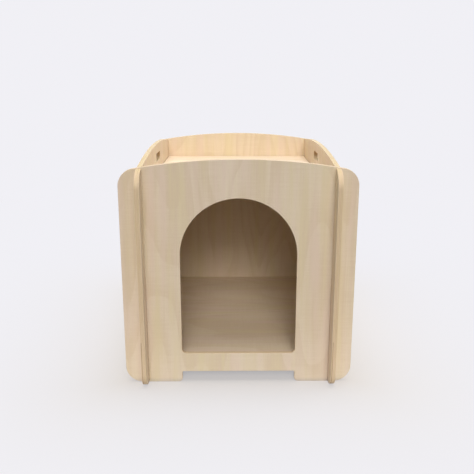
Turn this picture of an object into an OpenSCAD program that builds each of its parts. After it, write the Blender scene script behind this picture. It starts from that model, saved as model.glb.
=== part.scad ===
// Slot-together pet house in plywood: four walls that cross-lap at the corners, a floor and a lounging deck.
// +X is to the right, +Y runs from the door to the back, +Z is up. The origin is on the ground, mid-house.

/* [House] */
// Clear width between the side walls
inner_w = 480; // [400:1:640]
// Clear depth between the front and back walls
inner_d = 676; // [480:1:900]
// Height of the rim at its crown, in the middle of each wall
rim_h = 598; // [480:1:760]
// Thickness of the wall sheets
wall_t = 12.7; // [9:0.1:18]
// Thickness of the floor and deck sheets
shelf_t = 12.7; // [9:0.1:18]

/* [Wall outline] */
// How far the front and back walls run past the side walls
front_ear = 47.3; // [30:0.1:70]
// How far the side walls run past the front and back walls
side_ear = 49.3; // [30:0.1:70]
// Fall of the front and back rims from their crowns to where two walls cross
rim_fall = 20; // [8:1:40]
// How much further the side rims fall, so that the front and back rims stand proud where they cross
rim_step = 1.5; // [0:0.5:8]
// Radius of each wall's outer corners
corner_r = 45; // [15:1:60]
// Length of each foot along its wall
foot_l = 150; // [100:1:190]
// Height of the gap between the feet
foot_gap_h = 30; // [18:1:50]
// Radius at each foot's inner lower corner
foot_r = 10; // [2:0.5:12]
// Radius in the foot gap's upper corners
foot_gap_r = 4; // [1:0.5:6]

/* [Corner laps] */
// Play on each side of a sheet in its lap slot
lap_play = 0.2; // [0.1:0.05:0.5]
// Gap between the ends of two mating lap slots
lap_end_gap = 0.5; // [0.2:0.1:2]

/* [Doorway] */
// Width of the doorway
door_w = 300; // [200:1:360]
// Height of wall left between the doorway's arch and the underside of the deck
door_head = 5; // [2:1:60]
// How far the sill stands above the floor
sill_rise = 14; // [4:1:60]
// Radius in the doorway's lower corners
door_r = 13; // [3:1:40]

/* [Deck and floor] */
// From the rim's crown down to the top of the deck
deck_drop = 80; // [60:1:140]
// Gap all round the floor and the deck, so that they drop in
shelf_play = 0.8; // [0.3:0.1:2]

/* [Hand slots] */
// Length of the hand slot in each side wall
hand_l = 100; // [80:1:140]
// Height of the hand slot
hand_h = 23; // [18:1:36]
// How far behind the middle of its wall the hand slot sits
hand_back = 22; // [0:1:60]

/* [Cleats and screws] */
// How far a cleat stands off its wall
cleat_t = 18; // [15:1:24]
// Height of a cleat
cleat_h = 20; // [17:1:40]
// Gap between a cleat's end and the wall across it
cleat_end_gap = 20; // [5:1:60]
// Wall left between the foot gap and the floor cleat above it
cleat_lift = 5; // [2:1:30]
// Screws along each cleat
screw_count = 4; // [2:1:6]
// From a cleat's end to its first screw
screw_inset = 60; // [20:1:100]
// Diameter of a screw's shank
screw_d = 3.5; // [3:0.1:5]
// Diameter of a screw's countersunk head
screw_head_d = 7; // [6:0.1:10]
// How far a cleat's screw runs into the wall
screw_bite = 7; // [4:0.5:8]
// Length of a screw's point
screw_tip_l = 3; // [1:0.5:4]
// Play round a screw in its hole
screw_play = 0.05; // [0.02:0.01:0.2]
// Width of each arm of the cross recess in a screw's head
recess_w = 0.9; // [0.5:0.1:1.4]
// Depth of the cross recess
recess_deep = 1.2; // [0.6:0.1:1.6]

/* [Hidden] */

$fn = 64;
// Sides of the wide circles that the rims follow
rim_sides = 1440;
// Overshoot of a cut past the face that it opens
past = 1;

// Outer faces, measured from the middle of the house
side_face = inner_w / 2 + wall_t;
front_face = inner_d / 2 + wall_t;
half_w = side_face + front_ear;
half_d = front_face + side_ear;

// Where the middles of two crossing sheets meet, seen from above
cross_x = inner_w / 2 + wall_t / 2;
cross_y = inner_d / 2 + wall_t / 2;
// Height at which the lap slots of two crossing walls meet
lap_z = (rim_h - rim_fall) / 2;
lap_w = wall_t + 2 * lap_play;

// Heights of the floor, the sill, the deck and the doorway
floor_cleat_z = foot_gap_h + cleat_lift;
floor_z = floor_cleat_z + cleat_h;
floor_top = floor_z + shelf_t;
sill_z = floor_top + sill_rise;
deck_top = rim_h - deck_drop;
deck_z = deck_top - shelf_t;
deck_cleat_z = deck_z - cleat_h;
door_spring_z = deck_z - door_head - door_w / 2;
hand_z = (deck_top + rim_h) / 2;

// Cleats and their screws
cleat_l = inner_d - 2 * cleat_end_gap;
screw_pitch = (cleat_l - 2 * screw_inset) / (screw_count - 1);
screw_l = cleat_t + screw_bite;
screw_head_l = (screw_head_d - screw_d) / 2;
recess_l = 0.55 * screw_head_d;

ply_colour = [0.86, 0.77, 0.65];
shelf_colour = [0.88, 0.80, 0.68];
cleat_colour = [0.83, 0.71, 0.55];
screw_colour = "silver";

// Outlines, drawn along the wall (x) and up it (y)

// What rounds off a wall's upper corner, where the rim's arc meets the wall's end
module upper_corner_cut(half_l, rim_r) {
    centre_x = half_l - corner_r;
    centre_up = sqrt(pow(rim_r - corner_r, 2) - pow(centre_x, 2));
    reach = (rim_r + corner_r) / (rim_r - corner_r);
    translate([0, rim_h - rim_r])
        difference() {
            polygon([
                [centre_x, centre_up],
                [centre_x * reach, centre_up * reach],
                [half_l + corner_r, centre_up * reach],
                [half_l + corner_r, centre_up]
            ]);
            translate([centre_x, centre_up]) circle(r = corner_r);
        }
}

// What rounds off a wall's lower corner
module lower_corner_cut(half_l) {
    difference() {
        translate([half_l - corner_r, -corner_r]) square(2 * corner_r);
        translate([half_l - corner_r, corner_r]) circle(r = corner_r);
    }
}

// The gap between a wall's feet, with its upper corners and the feet's edges rounded
module foot_gap(half_gap) {
    translate([-half_gap, -past]) square([2 * half_gap, foot_gap_h - foot_gap_r + past]);
    translate([foot_gap_r - half_gap, 0]) square([2 * (half_gap - foot_gap_r), foot_gap_h]);
    for (side = [-1, 1]) {
        translate([side * (half_gap - foot_gap_r), foot_gap_h - foot_gap_r]) circle(r = foot_gap_r);
        difference() {
            translate([side * half_gap - foot_r, -past]) square([2 * foot_r, foot_r + past]);
            translate([side * (half_gap + foot_r), foot_r]) circle(r = foot_r);
        }
    }
}

// A wall's whole outline: a rim that falls by the given amount to its crossings, rounded corners and two feet
module wall_outline(half_l, cross, fall) {
    rim_r = (pow(cross, 2) + pow(fall, 2)) / (2 * fall);
    difference() {
        intersection() {
            translate([-half_l, 0]) square([2 * half_l, rim_h + past]);
            translate([0, rim_h - rim_r]) circle(r = rim_r, $fn = rim_sides);
        }
        for (turn = [0, 1]) {
            mirror([turn, 0]) upper_corner_cut(half_l, rim_r);
            mirror([turn, 0]) lower_corner_cut(half_l);
        }
        foot_gap(half_l - foot_l);
    }
}

// The doorway: a half-round arch on straight jambs, with eased lower corners
module doorway() {
    half = door_w / 2;
    translate([0, door_spring_z]) circle(d = door_w);
    translate([-half, sill_z + door_r]) square([door_w, door_spring_z - sill_z - door_r]);
    translate([door_r - half, sill_z]) square([door_w - 2 * door_r, door_spring_z - sill_z]);
    for (side = [-1, 1])
        translate([side * (half - door_r), sill_z + door_r]) circle(r = door_r);
}

// A hand slot with half-round ends
module hand_slot() {
    straight = hand_l - hand_h;
    translate([hand_back - straight / 2, hand_z - hand_h / 2]) square([straight, hand_h]);
    for (side = [-1, 1])
        translate([hand_back + side * straight / 2, hand_z]) circle(d = hand_h);
}

// The lap slots in a wall, one at each crossing, between two heights
module lap_slots(cross, low, high) {
    for (side = [-1, 1])
        translate([side * cross - lap_w / 2, low]) square([lap_w, high - low]);
}

// Sheets stood up in their places

// Stands an outline up as a front or back sheet, centred on the depth given
module across(y) {
    translate([0, y + wall_t / 2, 0]) rotate([90, 0, 0]) linear_extrude(wall_t) children();
}

// Stands an outline up as a side sheet, centred on the place across the house given
module along(x) {
    translate([x - wall_t / 2, 0, 0]) rotate([90, 0, 90]) linear_extrude(wall_t) children();
}

// A wall across the house: its lap slots are open at the bottom, so that it drops in from above
module cross_wall(y) {
    across(y)
        difference() {
            wall_outline(half_w, cross_x, rim_fall);
            lap_slots(cross_x, -past, lap_z + lap_end_gap);
            children();
        }
}

// A side wall: its lap slots are open at the top, and blind holes take the cleats' screws
module side_wall(side) {
    color(ply_colour)
        difference() {
            along(side * cross_x)
                difference() {
                    wall_outline(half_d, cross_y, rim_fall + rim_step);
                    lap_slots(cross_y, lap_z, rim_h + past);
                    hand_slot();
                }
            cleat_screw_holes(side, floor_cleat_z);
            cleat_screw_holes(side, deck_cleat_z);
        }
}

// A sheet that drops in between the four walls, with its underside at the height given
module shelf(z) {
    size_x = inner_w - 2 * shelf_play;
    size_y = inner_d - 2 * shelf_play;
    translate([-size_x / 2, -size_y / 2, z]) cube([size_x, size_y, shelf_t]);
}

// Screws and their holes

// A countersunk screw along +Z, with its head's face at z = 0, grown all round by the play given
module screw_body(play) {
    radius = screw_d / 2 + play;
    translate([0, 0, -screw_l - play]) cylinder(r1 = play, r2 = radius, h = screw_tip_l);
    translate([0, 0, screw_tip_l - screw_l - play]) cylinder(r = radius, h = screw_l - screw_tip_l + play);
    translate([0, 0, -screw_head_l]) cylinder(r1 = radius, r2 = screw_head_d / 2 + play, h = screw_head_l);
}

// A screw with a cross recess in its head
module wood_screw() {
    difference() {
        screw_body(0);
        for (turn = [0, 90])
            rotate([0, 0, turn])
                translate([-recess_l / 2, -recess_w / 2, -recess_deep])
                    cube([recess_l, recess_w, recess_deep + past]);
    }
}

// Places children at each screw along one cleat, pointing from the house's middle into the side wall
module at_cleat_screws(side, z) {
    for (i = [0 : screw_count - 1])
        translate([side * (inner_w / 2 - cleat_t), screw_inset - cleat_l / 2 + i * screw_pitch, z + cleat_h / 2])
            rotate([0, -side * 90, 0]) children();
}

// Places children at each floor screw along one side, midway between the cleat's own screws
module at_floor_screws(side) {
    for (i = [0.5 : screw_count - 1.5])
        translate([side * (inner_w - cleat_t) / 2, screw_inset - cleat_l / 2 + i * screw_pitch, floor_top])
            children();
}

// The holes that one cleat's screws need in the cleat and in its wall
module cleat_screw_holes(side, z) {
    at_cleat_screws(side, z) screw_body(screw_play);
}

// A cleat against a side wall, with its underside at the height given
module cleat(side, z) {
    color(cleat_colour)
        difference() {
            translate([side * (inner_w - cleat_t) / 2 - cleat_t / 2, -cleat_l / 2, z])
                cube([cleat_t, cleat_l, cleat_h]);
            cleat_screw_holes(side, z);
            children();
        }
}

// The screws of the two cleats at one height
module cleat_screws(z) {
    color(screw_colour)
        for (side = [-1, 1])
            at_cleat_screws(side, z) wood_screw();
}

// The pieces

module front_wall() {
    color(ply_colour) cross_wall(-cross_y) doorway();
}

module back_wall() {
    color(ply_colour) cross_wall(cross_y);
}

module left_wall() {
    side_wall(-1);
}

module right_wall() {
    side_wall(1);
}

module floor_panel() {
    color(shelf_colour)
        difference() {
            shelf(floor_z);
            for (side = [-1, 1])
                at_floor_screws(side) screw_body(screw_play);
        }
}

module deck_panel() {
    color(shelf_colour) shelf(deck_z);
}

module floor_cleat_left() {
    cleat(-1, floor_cleat_z) at_floor_screws(-1) screw_body(screw_play);
}

module floor_cleat_right() {
    cleat(1, floor_cleat_z) at_floor_screws(1) screw_body(screw_play);
}

module deck_cleat_left() {
    cleat(-1, deck_cleat_z);
}

module deck_cleat_right() {
    cleat(1, deck_cleat_z);
}

module floor_cleat_screws() {
    cleat_screws(floor_cleat_z);
}

module deck_cleat_screws() {
    cleat_screws(deck_cleat_z);
}

module floor_screws() {
    color(screw_colour)
        for (side = [-1, 1])
            at_floor_screws(side) wood_screw();
}

front_wall();
back_wall();
left_wall();
right_wall();
floor_panel();
deck_panel();
floor_cleat_left();
floor_cleat_right();
deck_cleat_left();
deck_cleat_right();
floor_cleat_screws();
deck_cleat_screws();
floor_screws();
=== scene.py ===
"""Slot-together plywood pet house: the finish of its sheets, battens and screws, and its studio.

Lengths are in metres. +X is to the right, +Y runs from the door to the back and +Z is up.
"""
import math

import bpy
import numpy as np
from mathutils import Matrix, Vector
from mathutils.geometry import tessellate_polygon


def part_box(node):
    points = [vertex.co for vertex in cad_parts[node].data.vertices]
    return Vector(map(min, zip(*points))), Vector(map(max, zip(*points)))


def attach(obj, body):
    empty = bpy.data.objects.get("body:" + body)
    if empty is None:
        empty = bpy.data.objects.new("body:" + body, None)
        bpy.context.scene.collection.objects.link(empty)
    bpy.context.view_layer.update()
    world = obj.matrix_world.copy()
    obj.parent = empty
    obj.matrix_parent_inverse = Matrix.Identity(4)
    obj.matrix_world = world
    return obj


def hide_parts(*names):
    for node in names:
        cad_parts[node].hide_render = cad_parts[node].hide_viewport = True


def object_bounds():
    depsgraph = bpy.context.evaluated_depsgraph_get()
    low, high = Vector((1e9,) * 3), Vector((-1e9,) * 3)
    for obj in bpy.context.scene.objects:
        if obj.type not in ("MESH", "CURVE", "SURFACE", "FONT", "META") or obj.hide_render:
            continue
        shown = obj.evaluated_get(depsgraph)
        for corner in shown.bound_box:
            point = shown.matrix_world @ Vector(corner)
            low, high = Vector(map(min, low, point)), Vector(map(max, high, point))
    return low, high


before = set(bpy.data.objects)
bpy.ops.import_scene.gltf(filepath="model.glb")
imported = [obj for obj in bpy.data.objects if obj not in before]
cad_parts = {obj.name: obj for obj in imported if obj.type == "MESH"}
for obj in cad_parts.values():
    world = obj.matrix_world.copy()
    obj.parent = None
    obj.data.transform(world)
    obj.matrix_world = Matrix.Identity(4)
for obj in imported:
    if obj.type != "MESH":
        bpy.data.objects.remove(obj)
cad_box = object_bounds()

# Outline of the walls
RIM_FALL = 0.020
RIM_STEP = 0.0015
CORNER_R = 0.045
FOOT_LENGTH = 0.150
FOOT_GAP_HEIGHT = 0.030
FOOT_R = 0.010
FOOT_GAP_R = 0.004

# Laps where two walls cross
LAP_PLAY = 0.0002
LAP_END_GAP = 0.0005
LAP_MOUTH_R = 0.0012
LAP_ROOT_R = 0.0004

# Doorway and hand slots
DOOR_HALF = 0.150
DOOR_SPRING = 0.3503
DOOR_SILL = 0.0817
DOOR_CORNER_R = 0.013
HAND_LENGTH = 0.100
HAND_HEIGHT = 0.023
HAND_BACK = 0.022

# Battens and their screws
SCREW_COUNT = 4
SCREW_INSET = 0.060
SCREW_HOLE_R = 0.00355
HOLE_SIDES = 24

# Arrises of the sheets and the battens, and the steps of a sheet's curves
SHEET_EASE = 0.0009
BATTEN_EASE = 0.0018
HOLE_EASE = 0.0002
SHELF_CORNER_R = 0.0025
BATTEN_CORNER_R = 0.0020
EASE_STEPS = 4
RIM_STEPS = 40
ARCH_STEPS = 72
CORNER_STEPS = 16
SMALL_STEPS = 6

# Where each sheet lies in the wood, across and along its grain
FIGURES = {
    "front_wall": (19.85, -10.27),
    "back_wall": (10.95, -6.59),
    "left_wall": (6.3, 0.4),
    "right_wall": (9.2, 2.9),
    "floor_panel": (28.05, 16.12),
    "deck_panel": (15.7, 3.3),
}
BATTEN_FIGURE = (0.31, 1.9)

# Plywood: the number of plies, the shift of the figure from one ply to the next, how far inside the
# faces the first and the last ply are read, and half a glue line and its soft edge, as shares of a ply
PLIES = 7
PLY_SHIFT = 0.37
PLY_MARGIN = 0.01
GLUE_HALF = 0.04
GLUE_SOFT = 0.08

# Birch: its pale, main and warm tones, and the rosy and honey ones that it drifts to
BIRCH_TONES = (
    (0.828, 0.684, 0.500),
    (0.790, 0.642, 0.457),
    (0.745, 0.588, 0.400),
    (0.804, 0.632, 0.484),
    (0.778, 0.644, 0.400),
)

# Each kind of sheet: the factor on its tones, the two tints of a rim, near its own colour and yellower,
# and how closely a cut has to face up the grain to count as a rim
FRONT_TINT = (0.965, 0.969, 0.988)
BACK_TINT = (0.945, 0.935, 0.910)
SIDE_TINT = (0.985, 0.975, 0.975)
SHELF_TINT = (1.068, 1.078, 1.100)
CLEAR_RIM = (0.95, 0.95, 0.94)
YELLOW_RIM = (0.87, 0.875, 0.69)
RIM_FOCUS = 10.0

# Tints of a cut edge, of the painted shade in a hand slot's cut, of the painted light that makes the sill
# paler, and of the painted shade that darkens the feet towards the bottom, and the height of that shade
EDGE_TINT = (0.96, 0.91, 0.82)
SLOT_SHADE_TINT = (0.73, 0.61, 0.46)
SILL_LIGHT_TINT = (1.16, 1.17, 1.17)
FOOT_SHADE_TINT = (0.82, 0.84, 0.89)
FOOT_SHADE_HEIGHT = 0.013

# Browns of the pores, the end grain and the glue, and how much of each shows
PORE_BROWN = (0.36, 0.25, 0.15)
END_BROWN = (0.56, 0.375, 0.205)
GLUE_BROWN = (0.40, 0.25, 0.135)
PORE_SHARE = 0.13
END_SHARE = 0.26
GLUE_SHARE = 0.34

# Birch figure: waves in a metre across the grain, along it and through the sheet, the growth lines in the
# swell's whole range, and how far the swell bends the streaks
SWELL_WAVES = (4.2, 0.85, 4.2)
BAND_WAVES = (13, 1.5, 13)
STREAK_WAVES = (85, 2.2, 85)
HAIR_WAVES = (340, 6, 340)
RIPPLE_WAVES = (14, 190, 14)
PORE_WAVES = (1500, 55, 1500)
HUE_WAVES = (32, 2.2, 32)
GROWTH_LINES = 17.0
LINE_WANDER = 0.05

# Where late wood begins and ends between two growth lines, the noise over which tones, hues and pores
# come in, how much of a hue shows, and the range of most noise
LATE_START = 0.30
LATE_END = 0.93
WARM_TO_MAIN = (0.20, 0.48)
MAIN_TO_PALE = (0.44, 0.74)
MAIN_TO_ROSY = (0.50, 0.66)
MAIN_TO_HONEY = (0.50, 0.34)
WOOD_TO_PORE = (0.62, 0.74)
HUE_SHARE = 0.75
MOST_NOISE = (0.3, 0.7)

# How much each part of the figure shifts the tone
STREAK_DEPTH = 0.60
HAIR_DEPTH = 0.45
RIPPLE_DEPTH = 0.50
LATE_DEPTH = -0.27

# Birch surface: its roughness along the streaks and what end grain adds, the drop of a pore and the
# relief of end grain in its bump, and the bump's height and strength
BIRCH_ROUGH = (0.44, 0.54)
END_ROUGH = 0.12
PORE_DROP = -0.8
END_RELIEF = 0.6
BIRCH_BUMP = (0.0002, 0.35)

# The dark stretch of one ply at the front ends of the side walls: which ply it is, how far ahead it
# begins, its top, the length over which it fades there, and its depth
HEART_PLY = 1.0
HEART_AHEAD = 0.36
HEART_TOP = 0.137
HEART_FADE = 0.006
HEART_SHARE = 0.80

# Pine of the battens: its two tones, its late wood and its ends with how much of each shows, its growth
# lines in a metre with their slope, drift and sharpness, its waves in a metre, its roughness, and its
# bump
PINE_TONES = ((0.66, 0.48, 0.29), (0.74, 0.57, 0.37))
PINE_LATE = (0.50, 0.29, 0.135)
PINE_END = (0.42, 0.26, 0.13)
PINE_LATE_SHARE = 0.55
PINE_END_SHARE = 0.35
PINE_LINES = 360.0
PINE_SLOPE = 0.8
PINE_DRIFT = 0.012
PINE_SHARPNESS = 3.0
PINE_DRIFT_WAVES = (14, 1.3, 14)
PINE_HAIR_WAVES = (1100, 14, 1100)
PINE_ROUGH = (0.62, 0.50)
PINE_BUMP = (0.0002, 0.4)

# Zinc plate: its dull and bright tones, the waves of its patches and its grit in a metre, its
# roughness, and its bump
ZINC_TONES = ((0.60, 0.60, 0.58), (0.78, 0.79, 0.80))
ZINC_PATCH_WAVES = (420, 420, 420)
ZINC_GRIT_WAVES = (2600, 2600, 2600)
ZINC_ROUGH = (0.28, 0.46)
ZINC_BUMP = (0.00005, 0.3)

# Camera, from the lines of the photograph in its square frame
CAMERA_PLACE = (-0.01852, -1.88214, 0.80327)
CAMERA_PITCH = 14.7037
CAMERA_YAW = 0.5411
CAMERA_LENS = 47.5166
CAMERA_SENSOR = 36.0

# Studio: the colours of its backdrop, floor and sky, the floor's share and reach of shade, how much light
# the floor throws back in front of the house, beside it and further out, and half the floor's width
BACKDROP = (0.877, 0.871, 0.913)
FLOOR_COLOUR = (0.640, 0.585, 0.500)
SHADE_SHARE = 0.56
SHADE_REACH = 0.20
FLOOR_BOUNCE = 0.50
SIDE_BOUNCE = 1.0
BOUNCE_NEAR = 0.15
BOUNCE_REACH = 0.35
BOUNCE_LEAST = 0.1
SIDE_REACH = 0.10
FLOOR_HALF = 8.0
SKY_COLOUR = (0.98, 1.0, 1.04)
SKY_STRENGTH = 0.35

# Lamps: how far each stands round from the door's side to the right, how high it stands and half its
# width, all in degrees, and its strength
LAMPS = (
    ("left_key_lamp", -3.0, 32.0, 10.0, 0.845),
    ("right_key_lamp", 9.0, 31.0, 10.0, 0.65),
    ("low_lamp", 2.0, 22.0, 9.0, 0.19),
    ("overhead_lamp", 0.0, 90.0, 20.0, 1.35),
    ("right_lamp", 118.0, 37.0, 25.0, 0.46),
    ("rear_lamp", 180.0, 28.0, 20.0, 0.60),
    ("left_fill_lamp", -93.0, 1.0, 2.0, 0.42),
    ("right_fill_lamp", 93.0, 1.0, 2.0, 0.28),
)

# Places read from the model
front_low, front_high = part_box("front_wall")
back_low, back_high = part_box("back_wall")
left_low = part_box("left_wall")[0]
right_low, right_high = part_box("right_wall")
SHEET = front_high.y - front_low.y
LAP_WIDTH = SHEET + 2 * LAP_PLAY
RIM_TOP = cad_box[1].z
HALF_WIDTH = front_high.x
HALF_DEPTH = right_high.y
CROSS_X = (right_low.x + right_high.x) / 2
CROSS_Y = (back_low.y + back_high.y) / 2
LAP_HEIGHT = (RIM_TOP - RIM_FALL) / 2
HAND_MIDDLE = (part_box("deck_panel")[1].z + RIM_TOP) / 2


def arc(centre, radius, start, end, steps):
    """Rows of a place and the way out of the sheet, along an arc.

    A place is the centre plus the radius times (cos, sin) of an angle that goes evenly from start to end,
    in degrees. Where the angle grows, the sheet bulges and its edge faces away from the centre. Where the
    angle falls, the edge is hollow and faces the centre.
    """
    turn = np.radians(np.linspace(start, end, steps + 1))
    spoke = np.column_stack([np.cos(turn), np.sin(turn)])
    return np.hstack([np.asarray(centre) + radius * spoke, spoke * np.sign(end - start)])


def rim_circle(cross, fall):
    """Radius and centre height of a rim's circle.

    It passes the crown and falls by fall over the distance cross, so its radius is
    (cross squared + fall squared) / (2 fall).
    """
    radius = (cross ** 2 + fall ** 2) / (2 * fall)
    return radius, RIM_TOP - radius


def rim_corner(rim, edge, radius, side):
    """Arc between a rim and an upright edge, tangent to both, and the angle at which it meets the rim.

    Its centre lies one radius inside the edge and one radius inside the rim's circle. The edge faces along
    side, which is 1 or -1.
    """
    rim_radius, rim_centre = rim
    across = edge - side * radius
    up = math.sqrt((rim_radius - radius) ** 2 - across ** 2)
    tilt = math.degrees(math.atan2(up, across))
    start, end = (0, tilt) if side > 0 else (tilt, 180)
    return arc((across, rim_centre + up), radius, start, end, CORNER_STEPS), tilt


def rim_run(rim, start, end):
    """Rows along a rim's circle between two corners, without the ends that the corners already have."""
    rim_radius, rim_centre = rim
    return arc((0, rim_centre), rim_radius, start, end, RIM_STEPS)[1:-1]


def crown_run(rim, start):
    """Rows along a rim's circle from a corner up to the crown."""
    rim_radius, rim_centre = rim
    return arc((0, rim_centre), rim_radius, start, 90, RIM_STEPS)[1:]


def foot(half_length):
    """Rows from the top of the foot gap down round the foot: a hollow arc, then a bulging one."""
    half_gap = half_length - FOOT_LENGTH
    return np.vstack([
        arc((half_gap - FOOT_GAP_R, FOOT_GAP_HEIGHT - FOOT_GAP_R), FOOT_GAP_R, 90, 0, SMALL_STEPS),
        arc((half_gap + FOOT_R, FOOT_R), FOOT_R, 180, 270, SMALL_STEPS),
    ])


def slot_from_below(cross):
    """Rows round a lap slot that opens at the lower edge: two eased mouths and two tight roots."""
    near, far = cross - LAP_WIDTH / 2, cross + LAP_WIDTH / 2
    root = LAP_HEIGHT + LAP_END_GAP - LAP_ROOT_R
    return np.vstack([
        arc((near - LAP_MOUTH_R, LAP_MOUTH_R), LAP_MOUTH_R, 270, 360, SMALL_STEPS),
        arc((near + LAP_ROOT_R, root), LAP_ROOT_R, 180, 90, SMALL_STEPS),
        arc((far - LAP_ROOT_R, root), LAP_ROOT_R, 90, 0, SMALL_STEPS),
        arc((far + LAP_MOUTH_R, LAP_MOUTH_R), LAP_MOUTH_R, 180, 270, SMALL_STEPS),
    ])


def slot_from_above(cross):
    """Rows round the two roots of a lap slot that opens at the rim."""
    near, far = cross - LAP_WIDTH / 2, cross + LAP_WIDTH / 2
    root = LAP_HEIGHT + LAP_ROOT_R
    return np.vstack([
        arc((far - LAP_ROOT_R, root), LAP_ROOT_R, 0, -90, SMALL_STEPS),
        arc((near + LAP_ROOT_R, root), LAP_ROOT_R, -90, -180, SMALL_STEPS),
    ])


def mirrored(half):
    """Closes a half outline, which ends on the middle line, with its mirror image in reverse order."""
    return np.vstack([half, (half * (-1, 1, -1, 1))[-2::-1]])


def cross_wall_outline():
    """Outline of the front or back wall: feet, lap slots from below, round corners and an arched rim."""
    rim = rim_circle(CROSS_X, RIM_FALL)
    corner, tilt = rim_corner(rim, HALF_WIDTH, CORNER_R, 1)
    return mirrored(np.vstack([
        foot(HALF_WIDTH),
        slot_from_below(CROSS_X),
        arc((HALF_WIDTH - CORNER_R, CORNER_R), CORNER_R, 270, 360, CORNER_STEPS),
        corner,
        crown_run(rim, tilt),
    ]))


def side_wall_outline():
    """Outline of a side wall: feet, round corners and an arched rim, cut from above by the lap slots."""
    rim = rim_circle(CROSS_Y, RIM_FALL + RIM_STEP)
    corner, tilt = rim_corner(rim, HALF_DEPTH, CORNER_R, 1)
    far_mouth, far_tilt = rim_corner(rim, CROSS_Y + LAP_WIDTH / 2, LAP_MOUTH_R, -1)
    near_mouth, near_tilt = rim_corner(rim, CROSS_Y - LAP_WIDTH / 2, LAP_MOUTH_R, 1)
    return mirrored(np.vstack([
        foot(HALF_DEPTH),
        arc((HALF_DEPTH - CORNER_R, CORNER_R), CORNER_R, 270, 360, CORNER_STEPS),
        corner,
        rim_run(rim, tilt, far_tilt),
        far_mouth,
        slot_from_above(CROSS_Y),
        near_mouth,
        crown_run(rim, near_tilt),
    ]))


def doorway():
    """Edge of the doorway: a half-round arch on straight jambs, with round lower corners, all hollow."""
    low = DOOR_SILL + DOOR_CORNER_R
    side = DOOR_HALF - DOOR_CORNER_R
    return np.vstack([
        arc((-side, low), DOOR_CORNER_R, 270, 180, CORNER_STEPS),
        arc((0, DOOR_SPRING), DOOR_HALF, 180, 0, ARCH_STEPS),
        arc((side, low), DOOR_CORNER_R, 0, -90, CORNER_STEPS),
    ])


def hand_slot():
    """Edge of a hand slot: two hollow half circles joined by straight lines."""
    radius = HAND_HEIGHT / 2
    reach = HAND_LENGTH / 2 - radius
    return np.vstack([
        arc((HAND_BACK - reach, HAND_MIDDLE), radius, 270, 90, CORNER_STEPS),
        arc((HAND_BACK + reach, HAND_MIDDLE), radius, 90, -90, CORNER_STEPS),
    ])


def rectangle(low, high, radius):
    """Outline of a rectangle with round corners, from its lowest to its highest corner."""
    inner_low = np.asarray(low) + radius
    inner_high = np.asarray(high) - radius
    return np.vstack([
        arc(inner_low, radius, 180, 270, SMALL_STEPS),
        arc((inner_high[0], inner_low[1]), radius, 270, 360, SMALL_STEPS),
        arc(inner_high, radius, 0, 90, SMALL_STEPS),
        arc((inner_low[0], inner_high[1]), radius, 90, 180, SMALL_STEPS),
    ])


def screw_hole(centre):
    """Edge of a round hole, all hollow."""
    return arc(centre, SCREW_HOLE_R, 360, 0, HOLE_SIDES)[:-1]


def eased_edge(rows, ease, thick):
    """Grid of places and facings over the edge of a sheet: its profile carried along the outline.

    The profile is a quarter circle of radius ease at each face, joined by a straight edge. At an angle t of
    the quarter circle a ring lies ease (1 - sin t) inside the outline and ease (1 - cos t) behind the face,
    and it faces sin t outwards and cos t along the face's own direction.
    """
    quarter = np.radians(np.linspace(0, 90, EASE_STEPS + 1))
    behind = ease * (1 - np.cos(quarter))
    outward = np.concatenate([np.sin(quarter), np.sin(quarter)[::-1]])[:, None, None]
    depth = np.concatenate([behind, thick - behind[::-1]])[:, None, None]
    along_face = np.concatenate([-np.cos(quarter), np.cos(quarter)[::-1]])[:, None, None]
    ring = np.ones((1, len(rows), 1))
    flat = rows[None, :, :2] - ease * (1 - outward) * rows[None, :, 2:]
    places = np.concatenate([flat, depth * ring], axis=2)
    facings = np.concatenate([outward * rows[None, :, 2:], along_face * ring], axis=2)
    return places, facings


def edge_faces(rings, count, first):
    """Four-sided faces between the neighbouring rings of a closed edge, with vertices from first on."""
    grid = first + np.arange(rings * count).reshape(rings, count)
    following = np.roll(grid, -1, axis=1)
    faces = np.stack([grid[:-1], following[:-1], following[1:], grid[1:]], axis=-1)
    return grid, faces.reshape(-1, 4)


def flat_faces(outlines):
    """Triangles that fill the area between an outline and its holes, turned to face +depth.

    The cross product of two sides is twice a triangle's area. Below 0 the triangle is turned over, and at 0
    it is left out.
    """
    loops = [np.pad(outline, ((0, 0), (0, 1))).tolist() for outline in outlines]
    triangles = np.array(tessellate_polygon(loops))
    flat = np.vstack(outlines)
    first, second, third = (flat[triangles[:, corner]] for corner in range(3))
    one, two = second - first, third - first
    area = one[:, 0] * two[:, 1] - one[:, 1] * two[:, 0]
    triangles[area < 0] = triangles[area < 0][:, ::-1]
    return triangles[np.abs(area) > 0]


def store_vectors(mesh, name, vectors):
    """Keeps one vector for each vertex under the name given."""
    layer = mesh.attributes.new(name, "FLOAT_VECTOR", "POINT")
    layer.data.foreach_set("vector", np.ascontiguousarray(vectors, dtype=np.float32).ravel())


def store_values(mesh, name, values):
    """Keeps one number for each vertex under the name given."""
    layer = mesh.attributes.new(name, "FLOAT", "POINT")
    layer.data.foreach_set("value", np.ascontiguousarray(values, dtype=np.float32))


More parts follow.
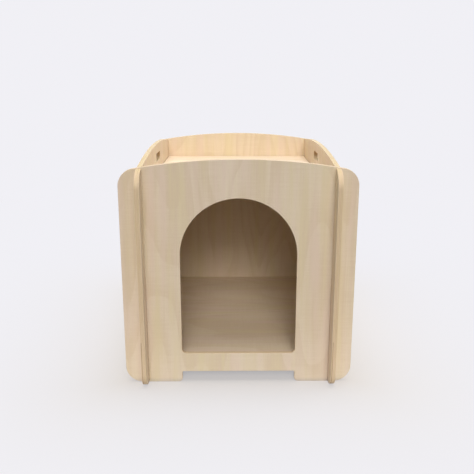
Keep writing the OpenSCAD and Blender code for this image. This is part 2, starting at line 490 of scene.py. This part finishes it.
def sheet(name, loops, axes, start, thick, grain, figure):
    """A flat sheet with eased arrises: edges carried round its loops, and faces filled between them.

    loops are the outline rows, the radius of their arris and how much painted shade, or below 0 how much
    painted light, their cut takes.
    axes says which directions of the model the outline's two directions and the depth run along, start is
    where the depth begins, grain is 0 or 1 for the outline's direction that the face grain follows, and
    figure moves the sheet to its own part of the wood.
    """
    places, facings, painted_shadings, faces, fronts, backs, outlines = [], [], [], [], [], [], []
    count = 0
    for rows, ease, painted_shading in loops:
        place, facing = eased_edge(rows, ease, thick)
        grid, quads = edge_faces(len(place), len(rows), count)
        places.append(place.reshape(-1, 3))
        facings.append(facing.reshape(-1, 3))
        painted_shadings.append(np.full(grid.size, painted_shading))
        faces.extend(quads.tolist())
        fronts.append(grid[0])
        backs.append(grid[-1])
        outlines.append(place[0, :, :2])
        count += grid.size
    fill = flat_faces(outlines)
    faces.extend(np.concatenate(backs)[fill].tolist())
    faces.extend(np.concatenate(fronts)[fill][:, ::-1].tolist())
    places = np.vstack(places)
    facings = np.vstack(facings)

    order = [axes.index(letter) for letter in "xyz"]
    moved = places + (0, 0, start)
    if np.linalg.det(np.eye(3)[order]) < 0:
        faces = [face[::-1] for face in faces]
    mesh = bpy.data.meshes.new(name)
    mesh.from_pydata(moved[:, order].tolist(), [], faces)
    mesh.polygons.foreach_set("use_smooth", np.ones(len(mesh.polygons), dtype=bool))
    mesh.normals_split_custom_set_from_vertices(facings[:, order].tolist())
    wood = [1 - grain, grain, 2]
    store_vectors(mesh, "wood_place", places[:, wood] + (figure[0], figure[1], 0))
    store_vectors(mesh, "wood_facing", facings[:, wood])
    store_values(mesh, "wood_painted_shading", np.concatenate(painted_shadings))
    piece = bpy.data.objects.new(name, mesh)
    bpy.context.scene.collection.objects.link(piece)
    return piece


class Finish:
    """A node material in the making, with short calls for the nodes that the finishes share."""

    def __init__(self, name):
        """An empty node material with its output."""
        self.material = bpy.data.materials.new(name)
        self.material.use_nodes = True
        self.tree = self.material.node_tree
        self.tree.nodes.clear()
        self.output = self.node("ShaderNodeOutputMaterial")

    def node(self, kind, **settings):
        """A new node of a kind, with its settings."""
        made = self.tree.nodes.new(kind)
        for key, value in settings.items():
            setattr(made, key, value)
        return made

    def feed(self, socket, value):
        """Links a socket to another one, or sets its value."""
        if isinstance(value, bpy.types.NodeSocket):
            self.tree.links.new(value, socket)
        else:
            socket.default_value = value

    def math(self, operation, *values, clamp=False):
        """One step of arithmetic, kept between 0 and 1 by clamp."""
        made = self.node("ShaderNodeMath", operation=operation, use_clamp=clamp)
        for socket, value in zip(made.inputs, values):
            self.feed(socket, value)
        return made.outputs[0]

    def vector(self, name):
        """A vector that the mesh keeps for each vertex."""
        return self.node("ShaderNodeAttribute", attribute_name=name).outputs["Vector"]

    def value(self, name):
        """A number that the mesh keeps for each vertex."""
        return self.node("ShaderNodeAttribute", attribute_name=name).outputs["Fac"]

    def split(self, vector):
        """The three parts of a vector."""
        made = self.node("ShaderNodeSeparateXYZ")
        self.feed(made.inputs[0], vector)
        return made.outputs

    def join(self, *values):
        """A vector made of its three parts."""
        made = self.node("ShaderNodeCombineXYZ")
        for socket, value in zip(made.inputs, values):
            self.feed(socket, value)
        return made.outputs[0]

    def stretch(self, vector, scale):
        """A vector with each part times its own scale."""
        made = self.node("ShaderNodeVectorMath", operation="MULTIPLY")
        self.feed(made.inputs[0], vector)
        self.feed(made.inputs[1], scale)
        return made.outputs[0]

    def noise(self, vector, scale, detail=2.0, rough=0.5, warp=0.0):
        """Soft noise with scale waves in a metre, from 0 to 1."""
        made = self.node("ShaderNodeTexNoise")
        self.feed(made.inputs["Vector"], self.stretch(vector, scale))
        made.inputs["Scale"].default_value = 1.0
        made.inputs["Detail"].default_value = detail
        made.inputs["Roughness"].default_value = rough
        made.inputs["Distortion"].default_value = warp
        return made.outputs["Fac"]

    def span(self, value, low, high, start=0.0, end=1.0, smooth=False):
        """Takes low to high over to start to end, straight or as a smooth step."""
        made = self.node("ShaderNodeMapRange")
        if smooth:
            made.interpolation_type = "SMOOTHSTEP"
        for socket, given in zip(made.inputs, (value, low, high, start, end)):
            self.feed(socket, given)
        return made.outputs[0]

    def blend(self, amount, one, two, mode="MIX"):
        """The first colour with an amount of the second mixed or multiplied in."""
        made = self.node("ShaderNodeMix", data_type="RGBA", blend_type=mode)
        self.feed(made.inputs[0], amount)
        for socket, colour in zip((made.inputs[6], made.inputs[7]), (one, two)):
            self.feed(socket, colour if isinstance(colour, bpy.types.NodeSocket) else (*colour, 1.0))
        return made.outputs[2]

    def layer(self, amount, under, over):
        """The first shader with an amount of the second over it."""
        made = self.node("ShaderNodeMixShader")
        self.feed(made.inputs[0], amount)
        self.tree.links.new(under.outputs[0], made.inputs[1])
        self.tree.links.new(over.outputs[0], made.inputs[2])
        return made

    def bump(self, height, distance, strength):
        """The facing that a height gives to a surface."""
        made = self.node("ShaderNodeBump")
        made.inputs["Strength"].default_value = strength
        made.inputs["Distance"].default_value = distance
        self.feed(made.inputs["Height"], height)
        return made.outputs["Normal"]

    def shade(self, **inputs):
        """Ends the material with one shader, whose inputs are given by name."""
        made = self.node("ShaderNodeBsdfPrincipled")
        for name, value in inputs.items():
            self.feed(made.inputs[name.replace("_", " ").title().replace("Ior", "IOR")], value)
        self.tree.links.new(made.outputs[0], self.output.inputs["Surface"])
        return self.material


def plywood(name, tint, rim_tint):
    """Oiled birch plywood, solid all through, in the birch tones times tint.

    The depth is cut into plies, and every second ply has its grain turned across. Along the grain run soft
    bands, finer streaks and hairs, across it runs a faint ripple, and over both lies the figure of a peeled
    log: contour lines of a slow swell, each dark at its late edge. The cut edges are warmer, with end grain
    in every second ply and thin glue lines. A cut that faces up the grain is a rim, and takes rim_tint.
    Last come painted shade in the hand slots' cuts, painted light that makes the sill paler, painted shade
    that darkens the feet towards the bottom, and one dark stretch of a ply.
    """
    pale, main, warm, rosy, honey = (tuple(np.multiply(tone, tint)) for tone in BIRCH_TONES)
    wood = Finish(name)
    across, along, depth = wood.split(wood.vector("wood_place"))
    out_across, out_along, out_face = wood.split(wood.vector("wood_facing"))
    ply = wood.math("DIVIDE", depth, SHEET / PLIES)
    inside = wood.math("MINIMUM", wood.math("MAXIMUM", ply, PLY_MARGIN), PLIES - PLY_MARGIN)
    layer = wood.math("FLOOR", inside)
    crossed = wood.math("MODULO", layer, 2.0)
    turn = wood.math("MULTIPLY", crossed, wood.math("SUBTRACT", along, across))
    fibre = wood.join(
        wood.math("ADD", across, turn),
        wood.math("SUBTRACT", along, turn),
        wood.math("MULTIPLY_ADD", layer, PLY_SHIFT, depth),
    )

    swell = wood.noise(fibre, SWELL_WAVES, detail=1.5, warp=0.3)
    contour = wood.math("FRACT", wood.math("MULTIPLY", swell, GROWTH_LINES))
    late = wood.math(
        "MULTIPLY",
        wood.span(contour, LATE_START, LATE_END, smooth=True),
        wood.span(contour, LATE_END, 1.0, 1.0, 0.0, smooth=True),
    )
    fibre_across, fibre_along, fibre_deep = wood.split(fibre)
    wander = wood.math("MULTIPLY_ADD", swell, LINE_WANDER, fibre_across)
    line = wood.join(wander, fibre_along, fibre_deep)
    band = wood.noise(line, BAND_WAVES, detail=2)
    streak = wood.noise(line, STREAK_WAVES, detail=3, rough=0.62)
    hair = wood.noise(line, HAIR_WAVES, detail=2, rough=0.6)
    ripple = wood.noise(line, RIPPLE_WAVES, detail=2, rough=0.6)
    pores = wood.span(wood.noise(line, PORE_WAVES, detail=1), *WOOD_TO_PORE)
    hue = wood.noise(line, HUE_WAVES, detail=3, rough=0.6)

    tone = wood.math("MULTIPLY_ADD", wood.math("SUBTRACT", streak, 0.5), STREAK_DEPTH, band)
    tone = wood.math("MULTIPLY_ADD", late, LATE_DEPTH, tone)
    tone = wood.math("MULTIPLY_ADD", wood.math("SUBTRACT", hair, 0.5), HAIR_DEPTH, tone)
    tone = wood.math("MULTIPLY_ADD", wood.math("SUBTRACT", ripple, 0.5), RIPPLE_DEPTH, tone)
    colour = wood.blend(wood.span(tone, *WARM_TO_MAIN), warm, main)
    colour = wood.blend(wood.span(tone, *MAIN_TO_PALE), colour, pale)
    colour = wood.blend(wood.span(hue, *MAIN_TO_ROSY, 0.0, HUE_SHARE), colour, rosy)
    colour = wood.blend(wood.span(hue, *MAIN_TO_HONEY, 0.0, HUE_SHARE), colour, honey)
    colour = wood.blend(wood.math("MULTIPLY", pores, PORE_SHARE), colour, PORE_BROWN)

    long_end = wood.math("ABSOLUTE", out_along)
    cross_end = wood.math("ABSOLUTE", out_across)
    on_edge = wood.math("SUBTRACT", 1.0, wood.math("ABSOLUTE", out_face), clamp=True)
    colour = wood.blend(on_edge, colour, wood.blend(1.0, colour, EDGE_TINT, "MULTIPLY"))
    end_grain = wood.math(
        "MULTIPLY_ADD", crossed, wood.math("SUBTRACT", cross_end, long_end), long_end, clamp=True)
    colour = wood.blend(wood.math("MULTIPLY", end_grain, END_SHARE), colour, END_BROWN)
    rim = wood.math("POWER", wood.math("MAXIMUM", out_along, 0.0), RIM_FOCUS)
    colour = wood.blend(rim, colour, wood.blend(1.0, colour, rim_tint, "MULTIPLY"))
    past_half = wood.math("FRACT", wood.math("ADD", ply, 0.5))
    to_glue = wood.math("ABSOLUTE", wood.math("SUBTRACT", past_half, 0.5))
    glue = wood.math("MULTIPLY", wood.span(to_glue, GLUE_HALF, GLUE_SOFT, 1.0, 0.0), on_edge)
    colour = wood.blend(wood.math("MULTIPLY", glue, GLUE_SHARE), colour, GLUE_BROWN)
    # Painted shade darkens the hand slots' cuts, except on the faces that look up.
    painted_shading = wood.math("MULTIPLY", wood.value("wood_painted_shading"), on_edge)
    painted_shading = wood.math("MULTIPLY", painted_shading, wood.math("SUBTRACT", 1.0, out_along, clamp=True))
    colour = wood.blend(painted_shading, colour, wood.blend(1.0, colour, SLOT_SHADE_TINT, "MULTIPLY"))
    # Painted light makes the sill's upward cut paler.
    sill_light = wood.math("MULTIPLY", wood.value("wood_painted_shading"), -1.0, clamp=True)
    sill_light = wood.math("MULTIPLY", sill_light, rim)
    colour = wood.blend(sill_light, colour, wood.blend(1.0, colour, SILL_LIGHT_TINT, "MULTIPLY"))
    _, ahead, up = wood.split(wood.node("ShaderNodeTexCoord").outputs["Object"])
    # Painted contact shade darkens the feet towards the floor.
    foot_shade = wood.span(up, FOOT_SHADE_HEIGHT, 0.0, smooth=True)
    colour = wood.blend(foot_shade, colour, wood.blend(1.0, colour, FOOT_SHADE_TINT, "MULTIPLY"))
    heart = wood.math("COMPARE", layer, HEART_PLY, 0.5)
    heart = wood.math("MULTIPLY", heart, wood.math("LESS_THAN", ahead, -HEART_AHEAD))
    heart = wood.math("MULTIPLY", heart, wood.span(up, HEART_TOP, HEART_TOP - HEART_FADE, smooth=True))
    colour = wood.blend(wood.math("MULTIPLY", heart, HEART_SHARE), colour, GLUE_BROWN)

    height = wood.math("MULTIPLY_ADD", pores, PORE_DROP, hair)
    height = wood.math("MULTIPLY_ADD", end_grain, wood.math("MULTIPLY", streak, END_RELIEF), height)
    rough = wood.span(streak, *MOST_NOISE, *BIRCH_ROUGH)
    rough = wood.math("MULTIPLY_ADD", end_grain, END_ROUGH, rough)
    return wood.shade(
        base_color=colour,
        roughness=rough,
        specular_ior_level=0.5,
        normal=wood.bump(height, *BIRCH_BUMP),
    )


def softwood(name):
    """Planed pine for the battens: growth lines along the length, softer between them, and darker ends."""
    wood = Finish(name)
    place = wood.vector("wood_place")
    facing = wood.split(wood.vector("wood_facing"))
    drift = wood.noise(place, PINE_DRIFT_WAVES, detail=2)
    across, _, depth = wood.split(place)
    radial = wood.math("MULTIPLY_ADD", drift, PINE_DRIFT, depth)
    radial = wood.math("MULTIPLY_ADD", across, PINE_SLOPE, radial)
    late = wood.math("FRACT", wood.math("MULTIPLY", radial, PINE_LINES))
    late = wood.math("POWER", late, PINE_SHARPNESS)
    hair = wood.noise(place, PINE_HAIR_WAVES, detail=2, rough=0.6)
    colour = wood.blend(wood.span(hair, *MOST_NOISE), *PINE_TONES)
    colour = wood.blend(wood.math("MULTIPLY", late, PINE_LATE_SHARE), colour, PINE_LATE)
    ends = wood.math("ABSOLUTE", facing[1])
    colour = wood.blend(wood.math("MULTIPLY", ends, PINE_END_SHARE), colour, PINE_END)
    return wood.shade(
        base_color=colour,
        roughness=wood.span(late, 0.0, 1.0, *PINE_ROUGH),
        specular_ior_level=0.3,
        normal=wood.bump(wood.math("ADD", hair, late), *PINE_BUMP),
    )


def zinc(name):
    """Zinc-plated steel: a faint bluish metal with brushed spangle and duller patches."""
    metal = Finish(name)
    place = metal.node("ShaderNodeTexCoord").outputs["Object"]
    patch = metal.noise(place, ZINC_PATCH_WAVES, detail=3)
    grit = metal.noise(place, ZINC_GRIT_WAVES, detail=2)
    return metal.shade(
        base_color=metal.blend(metal.span(patch, *MOST_NOISE), *ZINC_TONES),
        metallic=1.0,
        roughness=metal.span(grit, *MOST_NOISE, *ZINC_ROUGH),
        normal=metal.bump(grit, *ZINC_BUMP),
    )


def seen_directly(tree):
    """1 for rays that show the backdrop, in the picture or a reflection, and 0 for those that light."""
    path = tree.nodes.new("ShaderNodeLightPath")
    shown = path.outputs["Is Camera Ray"]
    for ray in ("Is Glossy Ray", "Is Transmission Ray"):
        either = tree.nodes.new("ShaderNodeMath")
        either.operation = "MAXIMUM"
        tree.links.new(shown, either.inputs[0])
        tree.links.new(path.outputs[ray], either.inputs[1])
        shown = either.outputs[0]
    return shown


def studio_floor():
    """A wide pale floor that keeps the shadow near the house and fades into the backdrop's colour.

    The shade falls off as exp(-distance / reach) from the house's plan. The floor throws light back on the
    house most from beside it, and less from in front and from further away.
    """
    paint = Finish("studio_floor")
    beside, ahead, _ = paint.split(paint.node("ShaderNodeTexCoord").outputs["Object"])
    beside = paint.math("ABSOLUTE", beside)
    past_side = paint.math("MAXIMUM", paint.math("SUBTRACT", beside, HALF_WIDTH), 0.0)
    ahead = paint.math("ABSOLUTE", ahead)
    past_front = paint.math("MAXIMUM", paint.math("SUBTRACT", ahead, CROSS_Y), 0.0)
    side_square = paint.math("MULTIPLY", past_side, past_side)
    front_square = paint.math("MULTIPLY", past_front, past_front)
    reach = paint.math("SQRT", paint.math("ADD", side_square, front_square))
    shade = paint.math("EXPONENT", paint.math("DIVIDE", reach, -SHADE_REACH))
    shade = paint.math("MULTIPLY", shade, SHADE_SHARE)
    matt = paint.node("ShaderNodeBsdfDiffuse")
    matt.inputs["Color"].default_value = (*FLOOR_COLOUR, 1.0)
    glow = paint.node("ShaderNodeEmission")
    glow.inputs["Color"].default_value = (*BACKDROP, 1.0)
    throw = paint.span(past_side, 0.0, SIDE_REACH, FLOOR_BOUNCE, SIDE_BOUNCE, smooth=True)
    fade = paint.span(reach, BOUNCE_NEAR, BOUNCE_REACH, 1.0, BOUNCE_LEAST, smooth=True)
    throw = paint.math("MULTIPLY", throw, fade)
    bounce = paint.node("ShaderNodeBsdfDiffuse")
    paint.feed(bounce.inputs["Color"], paint.join(throw, throw, throw))
    shown = paint.layer(shade, glow, matt)
    mixed = paint.layer(seen_directly(paint.tree), bounce, shown)
    paint.tree.links.new(mixed.outputs[0], paint.output.inputs["Surface"])

    corner = np.array([(-1, -1, 0), (1, -1, 0), (1, 1, 0), (-1, 1, 0)]) * FLOOR_HALF
    mesh = bpy.data.meshes.new("studio_floor")
    mesh.from_pydata(corner.tolist(), [], [(0, 1, 2, 3)])
    mesh.materials.append(paint.material)
    floor = bpy.data.objects.new("studio_floor", mesh)
    bpy.context.scene.collection.objects.link(floor)


def studio_light():
    """An even sky that shows as the backdrop's colour, and the soft lamps."""
    world = bpy.data.worlds.new("studio_sky")
    world.use_nodes = True
    tree = world.node_tree
    tree.nodes.clear()
    sky = tree.nodes.new("ShaderNodeBackground")
    sky.inputs["Color"].default_value = (*SKY_COLOUR, 1.0)
    sky.inputs["Strength"].default_value = SKY_STRENGTH
    backdrop = tree.nodes.new("ShaderNodeBackground")
    backdrop.inputs["Color"].default_value = (*BACKDROP, 1.0)
    mixed = tree.nodes.new("ShaderNodeMixShader")
    tree.links.new(seen_directly(tree), mixed.inputs[0])
    tree.links.new(sky.outputs[0], mixed.inputs[1])
    tree.links.new(backdrop.outputs[0], mixed.inputs[2])
    output = tree.nodes.new("ShaderNodeOutputWorld")
    tree.links.new(mixed.outputs[0], output.inputs["Surface"])
    bpy.context.scene.world = world

    for lamp in LAMPS:
        soft_lamp(*lamp)


def soft_lamp(name, around, up, spread, strength):
    """A soft lamp far away, at the angles around and up, that is a disc of half angle spread."""
    light = bpy.data.lights.new(name, "SUN")
    light.energy = strength
    light.angle = 2 * math.radians(spread)
    turn = math.radians(around)
    rise = math.radians(up)
    towards = Vector((math.sin(turn) * math.cos(rise), -math.cos(turn) * math.cos(rise), math.sin(rise)))
    lamp = bpy.data.objects.new(name, light)
    lamp.rotation_euler = towards.to_track_quat("Z", "Y").to_euler()
    bpy.context.scene.collection.objects.link(lamp)


def camera():
    """The photograph's camera: level across, turned slightly to the right and tilted down."""
    data = bpy.data.cameras.new("camera")
    data.lens = CAMERA_LENS
    data.sensor_width = CAMERA_SENSOR
    made = bpy.data.objects.new("camera", data)
    made.location = CAMERA_PLACE
    made.rotation_euler = (math.radians(90 - CAMERA_PITCH), 0, math.radians(-CAMERA_YAW))
    bpy.context.scene.collection.objects.link(made)
    bpy.context.scene.camera = made
    bpy.context.scene.view_settings.view_transform = "Standard"


def dress(piece, node, body, material):
    """Puts a new piece in the place of its node, on the node's body."""
    piece.data.materials.append(material)
    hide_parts(node)
    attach(piece, body)


def screw_places(node, between):
    """Places of the screws along a batten, or midway between them."""
    low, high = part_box(node)
    places = np.linspace(low.y + SCREW_INSET, high.y - SCREW_INSET, SCREW_COUNT)
    return (places[1:] + places[:-1]) / 2 if between else places


def make_walls(front, back, side):
    """The four wall sheets, with upright grain. The hand slots get painted shade, the sill painted light.
    """
    # The third number of each loop: above 0 its cut takes painted shade, below 0 painted light.
    cross_loops = [(cross_wall_outline(), SHEET_EASE, 0.0)]
    side_loops = [(side_wall_outline(), SHEET_EASE, 0.0), (hand_slot(), SHEET_EASE, 1.0)]
    door_loops = cross_loops + [(doorway(), SHEET_EASE, -1.0)]
    walls = (
        ("front_wall", "front", front, door_loops, "xzy", front_low.y),
        ("back_wall", "back", back, cross_loops, "xzy", back_low.y),
        ("left_wall", "carcass", side, side_loops, "yzx", left_low.x),
        ("right_wall", "carcass", side, side_loops, "yzx", right_low.x),
    )
    for node, body, material, loops, axes, start in walls:
        piece = sheet(node + "_sheet", loops, axes, start, SHEET, 1, FIGURES[node])
        dress(piece, node, body, material)


def make_shelves(material):
    """The floor and the deck, with grain from side to side. The floor has a hole round each screw head."""
    batten_low, batten_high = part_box("floor_cleat_right")
    middle = (batten_low.x + batten_high.x) / 2
    holes = [
        (screw_hole((side * middle, y)), HOLE_EASE, 0.0)
        for side in (-1, 1)
        for y in screw_places("floor_cleat_right", True)
    ]
    for node, body, extra in (("floor_panel", "carcass", holes), ("deck_panel", "deck", [])):
        low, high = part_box(node)
        rows = rectangle((low.x, low.y), (high.x, high.y), SHELF_CORNER_R)
        loops = [(rows, SHEET_EASE, 0.0)] + extra
        piece = sheet(node + "_sheet", loops, "xyz", low.z, high.z - low.z, 0, FIGURES[node])
        dress(piece, node, body, material)


def make_battens(material):
    """The four battens that carry the floor and the deck, each with a hole round each screw head."""
    nodes = ("floor_cleat_left", "floor_cleat_right", "deck_cleat_left", "deck_cleat_right")
    for number, node in enumerate(nodes):
        low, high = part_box(node)
        rows = rectangle((low.y, low.z), (high.y, high.z), BATTEN_CORNER_R)
        middle = (low.z + high.z) / 2
        holes = [(screw_hole((y, middle)), HOLE_EASE, 0.0) for y in screw_places(node, False)]
        loops = [(rows, BATTEN_EASE, 0.0)] + holes
        figure = np.multiply(BATTEN_FIGURE, number)
        piece = sheet(node + "_batten", loops, "yzx", low.x, high.x - low.x, 0, figure)
        dress(piece, node, "carcass", material)


def plate_screws(material):
    """Gives the screws of the model their plating."""
    for node in ("floor_cleat_screws", "deck_cleat_screws", "floor_screws"):
        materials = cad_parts[node].data.materials
        materials.clear()
        materials.append(material)


camera()
studio_floor()
studio_light()
make_walls(
    plywood("birch_front", FRONT_TINT, CLEAR_RIM),
    plywood("birch_back", BACK_TINT, YELLOW_RIM),
    plywood("birch_side", SIDE_TINT, YELLOW_RIM),
)
make_shelves(plywood("birch_shelf", SHELF_TINT, CLEAR_RIM))
make_battens(softwood("batten_pine"))
plate_screws(zinc("zinc_plate"))
